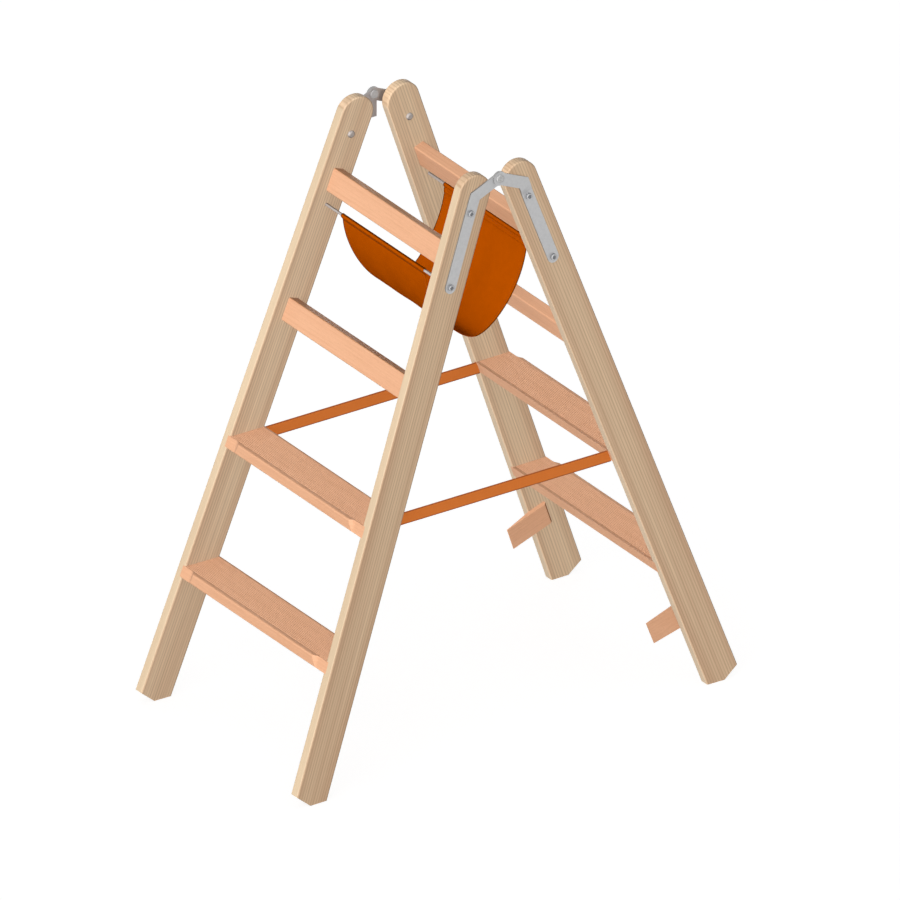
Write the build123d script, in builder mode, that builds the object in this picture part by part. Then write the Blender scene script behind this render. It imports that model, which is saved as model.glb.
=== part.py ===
from build123d import *
from math import atan, atan2, cos, radians, sin, tan
import os

os.makedirs("parts", exist_ok=True)

# Wooden double-sided stepladder, millimetres, +Z up.
# The origin is on the floor below the hinge; X runs along the rungs and the rear frame is at +Y.

# Stiles and the stance of the two frames
lean_angle = 20.0  # lean of each frame from upright, degrees
stile_width = 75.0
stile_thickness = 22.0
stile_length = 1280.0  # inner corner of the foot to the rounded top
foot_half_width = 281.0  # middle of the ladder to a stile's outer face, at the floor
top_half_width = 213.0  # the same at the rounded top
stile_edge_round = 3.0

# Rungs
rung_height = 49.0
rung_depth = 24.0
rung_edge_round = 3.0
rung_above_rod = 52.5  # upper rung's centre above the tie rod, along the stile
rung_spacing = 277.0
tenon_height = 33.0
tenon_depth = 14.0
tenon_length = 14.0
mortise_spare = 1.0  # free depth past the tenon's end

# Steps
step_thickness = 23.5
upper_tread_height = 542.5
tread_spacing = 261.5
housing_depth = 7.0  # how far a step's end is let into the stile
flush_length = 22.0  # from the stile's inner face to the start of the nose's curve
curve_length = 24.0
nose_round = 4.0
underside_round = 2.5
rib_pitch = 4.0
rib_groove_width = 3.0
rib_groove_depth = 1.0
rib_margin = 3.5  # plain strip along the tread's inner edge

# Tie rods and hinge bolts
rod_diameter = 6.0
bolt_spacing = 152.0  # from the tie rod up to the hinge bolt
bolt_diameter = 6.0
hole_clearance = 0.2  # on the radius
set_clearance = 0.02  # on the radius, where a pin or rod is set fast
head_diameter = 13.0
head_height = 4.5
head_edge_round = 1.5
socket_size = 8.0  # across the flats
socket_depth = 2.6
socket_floor = 0.4  # left between the socket and the rod's end
nut_diameter = 15.0
nut_height = 5.0
nut_edge_round = 3.5
thread_engagement = 3.0

# Hinge plates and pivots
plate_width = 25.0
plate_thickness = 3.0
plate_play = 0.2  # between the two plates of a pair
elbow_drop = 42.0  # from the pivot down to the elbow, along the stile
bolt_drop = 35.0  # from the elbow down to the hinge bolt
eye_radius = 14.5
joggle_length = 12.0
joggle_margin = 4.0  # from the bolt's head to the joggle
pivot_drop = 1.0  # below the stiles' tops, along the stile
pivot_offset = 6.5  # from the stiles' inner edges to the pivot
pivot_diameter = 8.0
pivot_running_clearance = 0.05
pivot_head_diameter = 17.0
pivot_head_height = 2.5
pivot_dimple_diameter = 7.0
pivot_dimple_depth = 1.4
finger_width = 12.4
finger_reach = 49.2  # below the pivot
finger_root = 8.0  # from the pivot to the finger's upper end, inside the eye

# Guide cleats
cleat_thickness = 9.5
cleat_height = 49.0
cleat_reach = 58.0  # past the stile's inner edge
cleat_overlap = 39.0  # on the stile's inner face
cleat_along = 157.0
cleat_bevel = 4.0
cleat_taper = 7.5  # lead-in for the front stile, at the tip

# Straps
strap_width = 26.5
strap_thickness = 1.6
strap_inset = 0.2  # from the stile's inner face
strap_drop = 12.8  # from the tread's top to the strap's middle
tongue_width = 14.0  # of the strap's ends, inside the step
slot_depth = 22.0
slot_clearance = 0.3
pin_diameter = 2.4
pin_length = 16.0
pin_beyond = 2.0  # past the strap, towards the step's end

# Tool sling
sling_length = 285.0
sling_shift = -4.5  # of its middle, along the rods
sling_thickness = 1.6
sling_drop = 177.0
sling_shoulder = 0.527  # height of the curve's shoulder as a share of the drop
sling_flare = 0.954  # half width at the shoulder as a share of the rods' half spacing
sling_belly = 0.34  # the same at the belly
hem_clearance = 0.3

# Directions and places worked out from the sizes above
lean = radians(lean_angle)
pivot_along = stile_length - pivot_drop
elbow_along = pivot_along - elbow_drop
bolt_along = elbow_along - bolt_drop
rod_along = bolt_along - bolt_spacing
upper_rung_along = rod_along + rung_above_rod
lower_rung_along = upper_rung_along - rung_spacing
splay = atan((foot_half_width - top_half_width) / stile_length)
foot_half_gap = pivot_along * sin(lean) + pivot_offset * cos(lean)
pivot_height = pivot_along * cos(lean) - pivot_offset * sin(lean)
stile_middle = stile_width / 2
across_thickness = stile_thickness / cos(splay)
rod_y = foot_half_gap - rod_along * sin(lean) + stile_middle * cos(lean)
rod_z = rod_along * cos(lean) + stile_middle * sin(lean)
up_stile = Vector(0, -sin(lean), cos(lean))
out_of_frame = Vector(0, cos(lean), sin(lean))
foot_corner = Vector(0, foot_half_gap, 0)

# Planes of the rear frame: seen from the side, from inside the ladder and along the stiles
side_view = Plane(origin=foot_corner, x_dir=out_of_frame, z_dir=(1, 0, 0))
inside_view = Plane(origin=foot_corner, x_dir=(1, 0, 0), z_dir=out_of_frame * -1)
along_view = Plane(origin=foot_corner, x_dir=(1, 0, 0), z_dir=up_stile)

# Right rear stile's outer face, with its zero at the middle of the stile's width
outer_normal = Vector(cos(splay), 0, 0) + up_stile * sin(splay)
outer_origin = foot_corner + out_of_frame * stile_middle + Vector(foot_half_width, 0, 0)
outer_face = Plane(origin=outer_origin, x_dir=out_of_frame, z_dir=outer_normal)


def outer_x(along):
    return foot_half_width - along * tan(splay)


def inner_x(along):
    return outer_x(along) - across_thickness


def inner_edge_y(height):
    return foot_half_gap - height * tan(lean)


def outer_edge_y(height):
    return inner_edge_y(height) + stile_width / cos(lean)


def on_outer_face(along):
    return (0, along / cos(splay))


def along_outer_edge(height):
    return (height - stile_width * sin(lean)) / cos(lean)


def reflected(source, plane):
    with BuildPart() as twin:
        add(source.part)
        mirror(about=plane, mode=Mode.REPLACE)
    return twin


def save(piece, name):
    piece.part.label = name
    export_step(piece.part, "parts/" + name + ".step")


# Steps: a board with a plain upright nose, its ends cut to the stiles' splay
def step_board(tread_height):
    low = tread_height - step_thickness
    nose = outer_edge_y(low)
    with BuildPart() as board:
        with BuildSketch(Plane.YZ.offset(-foot_half_width)):
            with BuildLine():
                Polyline(
                    (inner_edge_y(tread_height), tread_height),
                    (nose, tread_height),
                    (nose, low),
                    (inner_edge_y(low), low),
                    close=True,
                )
            make_face()
            fillet(vertices().group_by(Axis.X)[-1].sort_by(Axis.Y)[-1], nose_round)
            fillet(vertices().group_by(Axis.X)[-1].sort_by(Axis.Y)[0], underside_round)
        extrude(amount=2 * foot_half_width)
        # Both ends follow the stiles' inner faces and reach into the housings
        with BuildSketch(inside_view.offset(stile_width)):
            bottom = low - stile_width
            top = tread_height + stile_width
            with BuildLine():
                Polyline(
                    (inner_x(bottom) + housing_depth, bottom),
                    (inner_x(top) + housing_depth, top),
                    (-inner_x(top) - housing_depth, top),
                    (-inner_x(bottom) - housing_depth, bottom),
                    close=True,
                )
            make_face()
        extrude(amount=-3 * stile_width, mode=Mode.INTERSECT)
        # The nose is trimmed flush with the stiles' outer edges and curves out between them
        flush_end = inner_x(along_outer_edge(tread_height)) - flush_length
        curve_end = flush_end - curve_length
        curve_height = 1.5 * step_thickness
        with BuildSketch(along_view.offset(tread_height - 4 * stile_width)):
            for side in (-1, 1):
                with BuildLine():
                    Polyline(
                        (side * curve_end, stile_width + curve_height),
                        (side * 2 * foot_half_width, stile_width + curve_height),
                        (side * 2 * foot_half_width, stile_width),
                        (side * flush_end, stile_width),
                    )
                    Spline(
                        (side * flush_end, stile_width),
                        (side * (flush_end + curve_end) / 2, stile_width + step_thickness * tan(lean) / 2),
                        (side * curve_end, stile_width + step_thickness * tan(lean)),
                        tangents=[(-side, 0), (-side, 0)],
                    )
                    Line(
                        (side * curve_end, stile_width + step_thickness * tan(lean)),
                        (side * curve_end, stile_width + curve_height),
                    )
                make_face()
        extrude(amount=8 * stile_width, mode=Mode.SUBTRACT)
    return board


# A finished step: ribbed tread and, where a strap is held, a blind slot and pin hole at each end
def finished_step(board, tread_height, strap_slots):
    ribbed_width = outer_edge_y(tread_height) - inner_edge_y(tread_height) - rib_margin
    rib_count = int(ribbed_width / rib_pitch)
    first_rib = inner_edge_y(tread_height) + rib_margin + rib_groove_width / 2
    with BuildPart() as step:
        add(board.part)
        with BuildSketch(Plane.YZ.offset(-foot_half_width)):
            for rib in range(rib_count):
                with Locations((first_rib + rib * rib_pitch, tread_height)):
                    Polygon(
                        (-rib_groove_width / 2, 0),
                        (0, -rib_groove_depth),
                        (rib_groove_width / 2, 0),
                        align=None,
                    )
        extrude(amount=2 * foot_half_width, mode=Mode.SUBTRACT)
        if strap_slots:
            slot_width = strap_thickness + 2 * slot_clearance
            slot_end = strap_end_y + slot_clearance
            with BuildSketch(Plane.XY.offset(strap_z - tongue_width / 2 - slot_clearance)):
                with Locations((strap_x, slot_end), (-strap_x, slot_end)):
                    Rectangle(slot_width, 4 * slot_depth, align=(Align.CENTER, Align.MAX))
            extrude(amount=tongue_width + 2 * slot_clearance, mode=Mode.SUBTRACT)
            for side in (-1, 1):
                with BuildSketch(Plane.YZ.offset(side * pin_inner_x)):
                    with Locations((pin_y, pin_z)):
                        Circle(pin_diameter / 2)
                extrude(amount=side * pin_length, mode=Mode.SUBTRACT)
    return step


# Places of the straps and of the pins through their ends
strap_z = upper_tread_height - strap_drop
strap_top = strap_z + strap_width / 2
strap_bottom = strap_z - strap_width / 2
strap_x = inner_x(strap_top / cos(lean)) - strap_inset - strap_thickness / 2
strap_end_y = inner_edge_y(upper_tread_height) + slot_depth
pin_y = strap_end_y - slot_depth / 3
pin_z = strap_z
pin_outer_x = strap_x + strap_thickness / 2 + pin_beyond
pin_inner_x = pin_outer_x - pin_length

upper_board = step_board(upper_tread_height)
lower_board = step_board(upper_tread_height - tread_spacing)
rear_step_upper = finished_step(upper_board, upper_tread_height, True)
rear_step_lower = finished_step(lower_board, upper_tread_height - tread_spacing, False)


# Rungs: shoulders against the stiles, a blind tenon at each end
def rung_tool(centre, height, depth, reach, edge_round):
    low = centre - height / 2
    high = centre + height / 2
    with BuildPart() as bar:
        with BuildSketch(inside_view.offset(-stile_middle + depth / 2)):
            with BuildLine():
                Polyline(
                    (inner_x(low) + reach, low),
                    (inner_x(high) + reach, high),
                    (-inner_x(high) - reach, high),
                    (-inner_x(low) - reach, low),
                    close=True,
                )
            make_face()
        extrude(amount=-depth)
        if edge_round > 0:
            fillet(bar.edges().filter_by(Axis.X), edge_round)
    return bar


def rung(centre):
    body = rung_tool(centre, rung_height, rung_depth, 0, rung_edge_round)
    tenons = rung_tool(centre, tenon_height, tenon_depth, tenon_length, 0)
    with BuildPart() as whole:
        add(body.part)
        add(tenons.part)
    return whole


rear_rung_upper = rung(upper_rung_along)
rear_rung_lower = rung(lower_rung_along)

# Stiles: rounded top, roof-shaped foot whose inner half stands flat on the floor
with BuildPart() as rear_stile_right:
    with BuildSketch(side_view):
        with BuildLine():
            Polyline(
                (0, stile_length - stile_middle),
                (0, 0),
                (stile_middle, -stile_middle * tan(lean)),
                (stile_width, 0),
                (stile_width, stile_length - stile_middle),
            )
            ThreePointArc(
                (stile_width, stile_length - stile_middle),
                (stile_middle, stile_length),
                (0, stile_length - stile_middle),
            )
        make_face()
    extrude(amount=2 * foot_half_width)
    with BuildSketch(inside_view.offset(stile_width)):
        with BuildLine():
            Polyline(
                (inner_x(-stile_width), -stile_width),
                (outer_x(-stile_width), -stile_width),
                (outer_x(stile_length + stile_width), stile_length + stile_width),
                (inner_x(stile_length + stile_width), stile_length + stile_width),
                close=True,
            )
        make_face()
    extrude(amount=-3 * stile_width, mode=Mode.INTERSECT)
    long_edges = edges().filter_by(lambda edge: edge.length > stile_middle * 1.3)
    fillet(long_edges.filter_by(lambda edge: edge.center().Z > stile_width), stile_edge_round)
    # Housings for the steps and mortises for the rungs
    add(upper_board.part, mode=Mode.SUBTRACT)
    add(lower_board.part, mode=Mode.SUBTRACT)
    for centre in (upper_rung_along, lower_rung_along):
        mortise = rung_tool(centre, tenon_height, tenon_depth, tenon_length + mortise_spare, 0)
        add(mortise.part, mode=Mode.SUBTRACT)
    # Hole for the tie rod, level, and for the hinge bolt, square to the stile
    with BuildSketch(Plane.YZ):
        with Locations((rod_y, rod_z)):
            Circle(rod_diameter / 2 + hole_clearance)
    extrude(amount=foot_half_width, mode=Mode.SUBTRACT)
    with BuildSketch(outer_face):
        with Locations(on_outer_face(bolt_along)):
            Circle(bolt_diameter / 2 + hole_clearance)
    extrude(amount=-2 * stile_thickness, mode=Mode.SUBTRACT)

# Guide cleat on the stile's inner face; the part that stands forward of it tapers to its tip
inner_face = outer_face.offset(-stile_thickness)
cleat_middle = inner_face.origin + inner_face.y_dir * (cleat_along / cos(splay))
cleat_plan = Plane(origin=cleat_middle, x_dir=out_of_frame, z_dir=inner_face.y_dir)
with BuildPart() as guide_cleat_right:
    with BuildSketch(cleat_plan):
        with BuildLine():
            Polyline(
                (cleat_overlap - stile_middle, 0),
                (-stile_middle, 0),
                (-stile_middle - cleat_reach, cleat_taper),
                (-stile_middle - cleat_reach, cleat_thickness),
                (cleat_overlap - stile_middle - cleat_bevel, cleat_thickness),
                (cleat_overlap - stile_middle, cleat_thickness - cleat_bevel),
                close=True,
            )
        make_face()
    extrude(amount=cleat_height / 2, both=True)

# Tie rod: a straight bar through both stiles and the plates on them
cap_bore_depth = head_height - socket_depth - socket_floor
rod_end_x = outer_x(rod_along) + plate_thickness + cap_bore_depth
with BuildPart() as rear_tie_rod:
    with BuildSketch(Plane.YZ):
        with Locations((rod_y, rod_z)):
            Circle(rod_diameter / 2)
    extrude(amount=rod_end_x, both=True)

# Faces of the plates where the bolts' heads and the rod's caps sit
plate_outer = outer_face.offset(plate_thickness * cos(splay))


# A low round head with a hexagonal socket
def socket_head(along):
    with BuildPart() as head:
        with BuildSketch(plate_outer):
            with Locations(on_outer_face(along)):
                Circle(head_diameter / 2)
        extrude(amount=head_height)
        fillet(head.faces().sort_by(Axis.X)[-1].edges(), head_edge_round)
        with BuildSketch(plate_outer.offset(head_height)):
            with Locations(on_outer_face(along)):
                RegularPolygon(socket_size / 2, 6, major_radius=False)
        extrude(amount=-socket_depth, mode=Mode.SUBTRACT)
    return head


# Caps on the tie rod's two ends, bored to take them
with BuildPart() as rear_rod_caps:
    add(socket_head(rod_along).part)
    with BuildSketch(Plane.YZ):
        with Locations((rod_y, rod_z)):
            Circle(rod_diameter / 2 + set_clearance)
    extrude(amount=rod_end_x + set_clearance, mode=Mode.SUBTRACT)
    mirror(about=Plane.YZ)

# Hinge bolts, head outside the plate, and the round nuts on the stiles' inner faces
with BuildPart() as rear_hinge_bolts:
    add(socket_head(bolt_along).part)
    with BuildSketch(plate_outer):
        with Locations(on_outer_face(bolt_along)):
            Circle(bolt_diameter / 2)
    extrude(amount=-(plate_thickness * cos(splay) + stile_thickness + thread_engagement))
    mirror(about=Plane.YZ)

with BuildPart() as round_nut:
    with BuildSketch(inner_face):
        with Locations(on_outer_face(bolt_along)):
            Circle(nut_diameter / 2)
    extrude(amount=-nut_height)
    fillet(round_nut.edges().sort_by(Axis.X)[0], nut_edge_round)
    with BuildSketch(inner_face):
        with Locations(on_outer_face(bolt_along)):
            Circle(bolt_diameter / 2)
    extrude(amount=-thread_engagement, mode=Mode.SUBTRACT)
with BuildPart() as rear_bolt_nuts:
    add(round_nut.part)
    mirror(about=Plane.YZ)

# Hinge plates: a leg on the stile, a bend at the elbow and an arm to the pivot's eye
arm_rise = atan2(pivot_along - elbow_along, stile_middle + pivot_offset)
half_width = plate_width / 2
mitre = half_width * tan((radians(90) - arm_rise) / 2)
front_bend = elbow_along - mitre - joggle_margin / 2
joggle_start = bolt_along + head_diameter / 2 + joggle_margin
front_arm_x = outer_x(front_bend)
rear_arm_x = front_arm_x + plate_thickness + plate_play
plate_bottom = rod_along - 2 * plate_width
plate_top = pivot_along + 2 * plate_width


def hinge_plate(profile, eye_hole_radius):
    arm_across = sin(arm_rise) * half_width
    arm_up = cos(arm_rise) * half_width
    with BuildPart() as plate:
        with BuildSketch(side_view):
            with BuildLine():
                Polyline(
                    (stile_middle + half_width, rod_along),
                    (stile_middle + half_width, elbow_along + mitre),
                    (-pivot_offset + arm_across, pivot_along + arm_up),
                    (-pivot_offset - arm_across, pivot_along - arm_up),
                    (stile_middle - half_width, elbow_along - mitre),
                    (stile_middle - half_width, rod_along),
                    close=True,
                )
            make_face()
            with Locations((stile_middle, rod_along)):
                Circle(half_width)
            with Locations((-pivot_offset, pivot_along)):
                Circle(eye_radius)
        extrude(amount=2 * foot_half_width)
        with BuildSketch(inside_view.offset(2 * stile_width)):
            with BuildLine():
                Polyline(*profile, close=True)
            make_face()
        extrude(amount=-4 * stile_width, mode=Mode.INTERSECT)
        with BuildSketch(side_view):
            with Locations((stile_middle, rod_along)):
                Circle(rod_diameter / 2 + hole_clearance)
            with Locations((-pivot_offset, pivot_along)):
                Circle(eye_hole_radius)
        extrude(amount=2 * foot_half_width, mode=Mode.SUBTRACT)
        with BuildSketch(outer_face):
            with Locations(on_outer_face(bolt_along)):
                Circle(bolt_diameter / 2 + hole_clearance)
        extrude(amount=2 * plate_width, both=True, mode=Mode.SUBTRACT)
    return plate


flat_profile = [
    (outer_x(plate_bottom), plate_bottom),
    (outer_x(plate_bottom) + plate_thickness, plate_bottom),
    (front_arm_x + plate_thickness, front_bend),
    (front_arm_x + plate_thickness, plate_top),
    (front_arm_x, plate_top),
    (front_arm_x, front_bend),
]
joggled_profile = [
    (outer_x(plate_bottom), plate_bottom),
    (outer_x(plate_bottom) + plate_thickness, plate_bottom),
    (outer_x(joggle_start) + plate_thickness, joggle_start),
    (rear_arm_x + plate_thickness, joggle_start + joggle_length),
    (rear_arm_x + plate_thickness, plate_top),
    (rear_arm_x, plate_top),
    (rear_arm_x, joggle_start + joggle_length),
    (outer_x(joggle_start), joggle_start),
]
rear_hinge_plate_right = hinge_plate(joggled_profile, pivot_diameter / 2 + pivot_running_clearance)
flat_plate = hinge_plate(flat_profile, pivot_diameter / 2 + set_clearance)

# Pivot rivet: set fast in the front plate, turning in the rear plate
pivot_outer_x = rear_arm_x + plate_thickness + plate_play / 2
with BuildPart() as hinge_pivot_right:
    with BuildSketch(Plane.YZ.offset(front_arm_x - pivot_head_height)):
        with Locations((0, pivot_height)):
            Circle(pivot_head_diameter / 2)
    extrude(amount=pivot_head_height)
    with BuildSketch(Plane.YZ.offset(front_arm_x)):
        with Locations((0, pivot_height)):
            Circle(pivot_diameter / 2)
    extrude(amount=pivot_outer_x - front_arm_x)
    with BuildSketch(Plane.YZ.offset(pivot_outer_x)):
        with Locations((0, pivot_height)):
            Circle(pivot_head_diameter / 2)
    extrude(amount=pivot_head_height)
    outer_rim = hinge_pivot_right.faces().sort_by(Axis.X)[-1].edges()
    fillet(outer_rim, pivot_head_height / 2)
    with BuildSketch(Plane.YZ.offset(pivot_outer_x + pivot_head_height)):
        with Locations((0, pivot_height)):
            Circle(pivot_dimple_diameter / 2)
    extrude(amount=-pivot_dimple_depth, mode=Mode.SUBTRACT)

# Straps, straight and taut with the ladder open, with a narrow tongue into each step
with BuildPart() as strap_right:
    with BuildSketch(Plane.YZ.offset(strap_x - strap_thickness / 2)):
        with BuildLine():
            Polyline(
                (inner_edge_y(strap_top) - slot_clearance, strap_top),
                (inner_edge_y(strap_bottom) - slot_clearance, strap_bottom),
                (-inner_edge_y(strap_bottom) + slot_clearance, strap_bottom),
                (-inner_edge_y(strap_top) + slot_clearance, strap_top),
                close=True,
            )
        make_face()
        with Locations((0, strap_z)):
            Rectangle(2 * strap_end_y, tongue_width)
        with Locations((pin_y, pin_z), (-pin_y, pin_z)):
            Circle(pin_diameter / 2 + slot_clearance, mode=Mode.SUBTRACT)
    extrude(amount=strap_thickness)

# Pins through the straps' ends, hidden in the step
with BuildPart() as rear_strap_pins:
    with BuildSketch(Plane.YZ.offset(pin_inner_x)):
        with Locations((pin_y, pin_z)):
            Circle(pin_diameter / 2)
    extrude(amount=pin_length)
    mirror(about=Plane.YZ)

# Tool sling: a sheet in a deep curve with a hem round each tie rod
hem_inner = rod_diameter / 2 + hem_clearance
hem_outer = hem_inner + sling_thickness
wall_top = rod_z - hem_inner - sling_thickness / 2
belly = rod_z - sling_drop
shoulder = rod_z - sling_drop * sling_shoulder
with BuildPart() as tool_sling:
    with BuildSketch(Plane.YZ.offset(sling_shift - sling_length / 2)):
        with BuildLine():
            Bezier(
                (rod_y, wall_top),
                (rod_y * sling_flare, shoulder),
                (rod_y * sling_belly, belly),
                (0, belly),
            )
            Bezier(
                (0, belly),
                (-rod_y * sling_belly, belly),
                (-rod_y * sling_flare, shoulder),
                (-rod_y, wall_top),
            )
        trace(line_width=sling_thickness)
        with Locations((rod_y, rod_z), (-rod_y, rod_z)):
            Circle(hem_outer)
        with Locations((rod_y, rod_z), (-rod_y, rod_z)):
            Circle(hem_inner, mode=Mode.SUBTRACT)
    extrude(amount=sling_length)

# Left-hand and front pieces are mirror images of the right-hand and rear ones
left_right = Plane.YZ
front_rear = Plane.XZ
rear_stile_left = reflected(rear_stile_right, left_right)
front_stile_right = reflected(rear_stile_right, front_rear)
front_stile_left = reflected(front_stile_right, left_right)
rear_hinge_plate_left = reflected(rear_hinge_plate_right, left_right)
front_hinge_plate_right = reflected(flat_plate, front_rear)
hinge_pivot_left = reflected(hinge_pivot_right, left_right)
guide_cleat_left = reflected(guide_cleat_right, left_right)
strap_left = reflected(strap_right, left_right)
front_rung_upper = reflected(rear_rung_upper, front_rear)
front_rung_lower = reflected(rear_rung_lower, front_rear)
front_step_upper = reflected(rear_step_upper, front_rear)
front_step_lower = reflected(rear_step_lower, front_rear)
front_tie_rod = reflected(rear_tie_rod, front_rear)
front_rod_caps = reflected(rear_rod_caps, front_rear)
front_hinge_bolts = reflected(rear_hinge_bolts, front_rear)
front_bolt_nuts = reflected(rear_bolt_nuts, front_rear)
front_strap_pins = reflected(rear_strap_pins, front_rear)

# The left front plate alone has a narrow finger below its eye
with BuildPart() as front_hinge_plate_left:
    add(reflected(front_hinge_plate_right, left_right).part)
    with BuildSketch(Plane.YZ.offset(-front_arm_x)):
        with Locations((0, pivot_height - finger_root)):
            Rectangle(finger_width, finger_reach - finger_root, align=(Align.CENTER, Align.MAX))
    extrude(amount=-plate_thickness)

# Front frame
save(front_stile_right, "front_stile_right")
save(front_stile_left, "front_stile_left")
save(front_rung_upper, "front_rung_upper")
save(front_rung_lower, "front_rung_lower")
save(front_step_upper, "front_step_upper")
save(front_step_lower, "front_step_lower")
save(front_tie_rod, "front_tie_rod")
save(front_rod_caps, "front_rod_caps")
save(front_hinge_bolts, "front_hinge_bolts")
save(front_bolt_nuts, "front_bolt_nuts")
save(front_hinge_plate_right, "front_hinge_plate_right")
save(front_hinge_plate_left, "front_hinge_plate_left")
save(hinge_pivot_right, "hinge_pivot_right")
save(hinge_pivot_left, "hinge_pivot_left")
save(front_strap_pins, "front_strap_pins")

# Rear frame
save(rear_stile_right, "rear_stile_right")
save(rear_stile_left, "rear_stile_left")
save(rear_rung_upper, "rear_rung_upper")
save(rear_rung_lower, "rear_rung_lower")
save(rear_step_upper, "rear_step_upper")
save(rear_step_lower, "rear_step_lower")
save(rear_tie_rod, "rear_tie_rod")
save(rear_rod_caps, "rear_rod_caps")
save(rear_hinge_bolts, "rear_hinge_bolts")
save(rear_bolt_nuts, "rear_bolt_nuts")
save(rear_hinge_plate_right, "rear_hinge_plate_right")
save(rear_hinge_plate_left, "rear_hinge_plate_left")
save(guide_cleat_right, "guide_cleat_right")
save(guide_cleat_left, "guide_cleat_left")
save(rear_strap_pins, "rear_strap_pins")

# Between the frames
save(tool_sling, "tool_sling")
save(strap_right, "strap_right")
save(strap_left, "strap_left")
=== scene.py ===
from math import cos, pi, radians, sin, tan

import bpy
from mathutils import Matrix, Vector


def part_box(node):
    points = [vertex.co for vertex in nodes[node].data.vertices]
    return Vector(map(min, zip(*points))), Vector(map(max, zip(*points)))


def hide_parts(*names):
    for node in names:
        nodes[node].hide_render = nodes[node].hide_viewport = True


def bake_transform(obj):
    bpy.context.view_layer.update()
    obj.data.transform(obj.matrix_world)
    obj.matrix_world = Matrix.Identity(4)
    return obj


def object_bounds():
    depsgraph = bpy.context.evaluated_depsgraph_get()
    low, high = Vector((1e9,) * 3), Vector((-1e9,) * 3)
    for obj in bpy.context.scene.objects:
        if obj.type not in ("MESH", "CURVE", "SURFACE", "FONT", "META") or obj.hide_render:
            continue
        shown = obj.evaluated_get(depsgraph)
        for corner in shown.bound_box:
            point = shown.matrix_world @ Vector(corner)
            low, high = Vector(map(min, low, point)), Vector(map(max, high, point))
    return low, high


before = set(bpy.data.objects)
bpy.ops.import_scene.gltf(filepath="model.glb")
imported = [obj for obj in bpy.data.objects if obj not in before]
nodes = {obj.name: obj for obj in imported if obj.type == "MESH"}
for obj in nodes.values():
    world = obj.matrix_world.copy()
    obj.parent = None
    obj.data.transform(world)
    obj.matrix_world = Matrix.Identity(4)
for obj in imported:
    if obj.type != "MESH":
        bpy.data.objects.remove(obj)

packed_low, packed_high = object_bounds()


# Stiles: four planed spruce boards with eased edges, a half-round top and a pointed foot.
# They are sawn with the growth rings square to the wide faces, so those show fine stripes and
# the narrow faces are plain; these are made paler, partly as a painted sheen. One thin coat of
# clear lacquer seals the wood.
stile_lean = radians(20.0)
stile_splay = radians(3.04)
stile_width = 0.075
inner_foot_y = 0.4435
spruce_pale = (0.796, 0.561, 0.373, 1)
spruce_middle = (0.770, 0.533, 0.350, 1)
spruce_dark = (0.667, 0.456, 0.291, 1)
# Colours of the narrow faces for each frame, partly a painted sheen
spruce_edges_and_sheen = {"front": (0.768, 0.592, 0.403, 1), "rear": (0.822, 0.641, 0.454, 1)}
# Painted light: a tone factor for each board; the left stiles are made paler to make up for the
# shade on their inner faces
painted_light_boards = {
    "front_right": (1.0, 1.0, 1.0, 1),
    "front_left": (1.09, 1.125, 1.155, 1),
    "rear_right": (1.0, 1.0, 1.0, 1),
    "rear_left": (1.14, 1.175, 1.19, 1),
}
# Grain sizes in metres: through the board, across it and along the grain
ring_size = (0.060, 0.0060, 0.60)
streak_size = (0.040, 0.0022, 0.50)
drift_size = (0.100, 0.032, 1.40)
fibre_size = (0.0006, 0.0006, 0.045)
ring_wander = 3.2
ring_ripple = 1.2
streak_dull = (0.90, 0.88, 0.86, 1)
streak_bright = (1.06, 1.06, 1.06, 1)
drift_dull = (0.90, 0.855, 0.825, 1)
drift_bright = (1.045, 1.08, 1.08, 1)
# The pale edges, in widths of the board off its middle, and how far the streaks show in them
edge_start = 0.485
edge_full = 0.497
edge_streaks = 0.8
# At this scale the wave texture makes one stripe in each unit of length
one_stripe = 2 * pi / 20
grain_roughness = 0.55
grain_depth = 0.0002
lacquer_gloss = 0.2
lacquer_coat = 0.03
lacquer_coat_roughness = 0.3


def add_node(tree, kind, settings, inputs):
    made = tree.nodes.new(kind)
    for name, value in settings.items():
        setattr(made, name, value)
    for name, value in inputs.items():
        if isinstance(value, bpy.types.NodeSocket):
            tree.links.new(value, made.inputs[name])
        else:
            made.inputs[name].default_value = value
    return made


def new_finish(name):
    # A material with its node tree and its shader
    material = bpy.data.materials.new(name)
    material.use_nodes = True
    return material, material.node_tree, material.node_tree.nodes["Principled BSDF"]


def surface(tree, what):
    # "Object" is the place in metres, "Normal" the way the surface looks
    return add_node(tree, "ShaderNodeTexCoord", {}, {}).outputs[what]


def split(tree, vector):
    return add_node(tree, "ShaderNodeSeparateXYZ", {}, {"Vector": vector}).outputs


def worked_out(tree, operation, *values):
    made = add_node(tree, "ShaderNodeMath", {"operation": operation}, dict(enumerate(values)))
    return made.outputs["Value"]


def between(tree, share, first, second):
    ends = {"Value": share, "To Min": first, "To Max": second}
    return add_node(tree, "ShaderNodeMapRange", {}, ends).outputs["Result"]


def fade_in(tree, value, start, full):
    # 0 up to start and 1 from full on, with a soft passage from one to the other
    ends = {"Value": value, "From Min": start, "From Max": full}
    made = add_node(tree, "ShaderNodeMapRange", {"interpolation_type": "SMOOTHSTEP"}, ends)
    return made.outputs["Result"]


def colour_ramp(tree, factor, stops):
    ramp = add_node(tree, "ShaderNodeValToRGB", {}, {"Fac": factor})
    steps = ramp.color_ramp.elements
    while len(steps) < len(stops):
        steps.new(1.0)
    for step, (place, colour) in zip(steps, stops):
        step.position = place
        step.color = colour
    return ramp.outputs["Color"]


def grey(level):
    return (level, level, level, 1)


def mixed(tree, blend, factor, first, second):
    settings = {"data_type": "RGBA", "blend_type": blend}
    made = add_node(tree, "ShaderNodeMix", settings, {0: factor, 6: first, 7: second})
    return made.outputs[2]


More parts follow.
